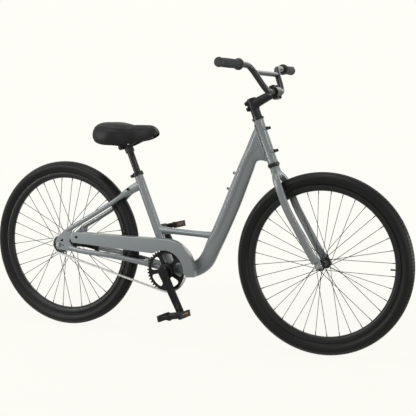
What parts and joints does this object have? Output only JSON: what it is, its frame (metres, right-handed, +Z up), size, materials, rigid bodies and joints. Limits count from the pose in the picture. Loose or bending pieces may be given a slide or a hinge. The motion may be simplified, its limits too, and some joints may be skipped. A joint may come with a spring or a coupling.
{
  "type": "step through bike",
  "caption": "Low step-through bicycle with a curved down tube, riser bars, chain guard, coaster hub, laced wheels and a wide saddle.",
  "frame": {"origin": "on the ground in the bike's middle plane, midway between the points where the wheels touch the ground", "axes": "+X forward, +Y to the rider's left, +Z up; the chain is on the -Y side"},
  "size_m": [1.751, 0.7036, 1.0536],
  "materials": {
    "frame_paint": "satin slate grey paint on welded steel",
    "black_paint": "semi-gloss black paint on steel",
    "black_alloy": "black anodised, semi-gloss",
    "black_steel": "black oxide steel",
    "zinc_steel": "bright zinc plate",
    "chain_steel": "silver grey, lightly oiled",
    "tyre_rubber": "matt black tyre rubber",
    "grip_rubber": "charcoal, soft and matt",
    "saddle_vinyl": "charcoal vinyl with a fine grain over foam",
    "black_plastic": "moulded, lightly textured",
    "amber_reflector": "amber prismatic reflector"
  },
  "bodies": {
    "frame": {"frame": "frame_paint", "headset_upper_cup": "black_alloy", "headset_lower_cup": "black_alloy", "bracket_cup_right": "black_paint", "bracket_cup_left": "black_paint", "seat_collar": "black_alloy", "seat_collar_bolt": "black_steel", "chain_guard": "frame_paint", "chain_guard_bolt_rear": "black_paint", "chain_guard_bolt_front": "black_paint", "chain": "chain_steel", "rack_bolt_upper_right": "black_paint", "rack_bolt_upper_left": "black_paint", "rack_bolt_lower_right": "black_paint", "rack_bolt_lower_left": "black_paint", "bottle_bolt_upper": "black_paint", "bottle_bolt_lower": "black_paint", "stay_bolt_right": "black_paint", "stay_bolt_left": "black_paint", "rear_axle": "zinc_steel", "rear_axle_nut_right": "zinc_steel", "rear_axle_nut_left": "zinc_steel", "brake_arm": "black_paint"},
    "steering": {"fork": "frame_paint", "steerer_spacer": "black_alloy", "stem": "black_alloy", "stem_faceplate": "black_alloy", "stem_bolt_lower": "black_steel", "stem_bolt_upper": "black_steel", "stem_top_cap": "black_alloy", "front_axle": "zinc_steel", "front_axle_nut_right": "zinc_steel", "front_axle_nut_left": "zinc_steel", "handlebar": "black_paint", "grip_right": "grip_rubber", "grip_left": "grip_rubber"},
    "front_wheel": {"front_hub": "black_alloy", "front_rim": "black_alloy", "front_tyre": "tyre_rubber", "front_inner_tube": "tyre_rubber"},
    "rear_wheel": {"rear_hub": "black_alloy", "rear_rim": "black_alloy", "rear_tyre": "tyre_rubber", "rear_inner_tube": "tyre_rubber"},
    "sprocket": {"rear_sprocket": "black_steel"},
    "crankset": {"crank_spindle": "black_steel", "chainring": "black_paint", "crank_arm_right": "black_paint", "crank_arm_left": "black_paint"},
    "pedal_right": {"pedal_right": "black_plastic", "pedal_reflector_right_front": "amber_reflector", "pedal_reflector_right_rear": "amber_reflector"},
    "pedal_left": {"pedal_left": "black_plastic", "pedal_reflector_left_front": "amber_reflector", "pedal_reflector_left_rear": "amber_reflector"},
    "seat": {"seatpost": "black_paint", "saddle_clamp": "black_steel", "saddle_rails": "black_steel", "saddle_base": "black_plastic", "saddle_cover": "saddle_vinyl"}
  },
  "joints": [
    {"name": "steering", "type": "hinge", "parent": "frame", "child": "steering", "pos_m": [0.49141, 0, 0.3102], "axis": [-0.3649, 0, 0.9311], "range_deg": [-80, 80]},
    {"name": "front_wheel_spin", "type": "hinge", "parent": "steering", "child": "front_wheel", "pos_m": [0.54448, 0, 0.331], "axis": [0, 1, 0], "continuous": true},
    {"name": "rear_wheel_spin", "type": "hinge", "parent": "frame", "child": "rear_wheel", "pos_m": [-0.54448, 0, 0.331], "axis": [0, 1, 0], "continuous": true},
    {"name": "crank_spin", "type": "hinge", "parent": "frame", "child": "crankset", "pos_m": [-0.06552, 0, 0.262], "axis": [0, 1, 0], "continuous": true, "deforming": ["chain"]},
    {"name": "sprocket_spin", "type": "hinge", "parent": "frame", "child": "sprocket", "pos_m": [-0.54448, 0, 0.331], "axis": [0, 1, 0], "continuous": true, "deforming": ["chain"]},
    {"name": "pedal_right_spin", "type": "hinge", "parent": "crankset", "child": "pedal_right", "pos_m": [0.01377, -0.134, 0.11162], "axis": [0, 1, 0], "continuous": true},
    {"name": "pedal_left_spin", "type": "hinge", "parent": "crankset", "child": "pedal_left", "pos_m": [-0.1448, 0.134, 0.41238], "axis": [0, 1, 0], "continuous": true},
    {"name": "seatpost_slide", "type": "slide", "parent": "frame", "child": "seat", "axis": [-0.3875, 0, 0.9219], "range_m": [-0.06, 0.08]}
  ],
  "couplings": [
    {"joint": "sprocket_spin", "follows": "crank_spin", "ratio": 2.1053}
  ]
}
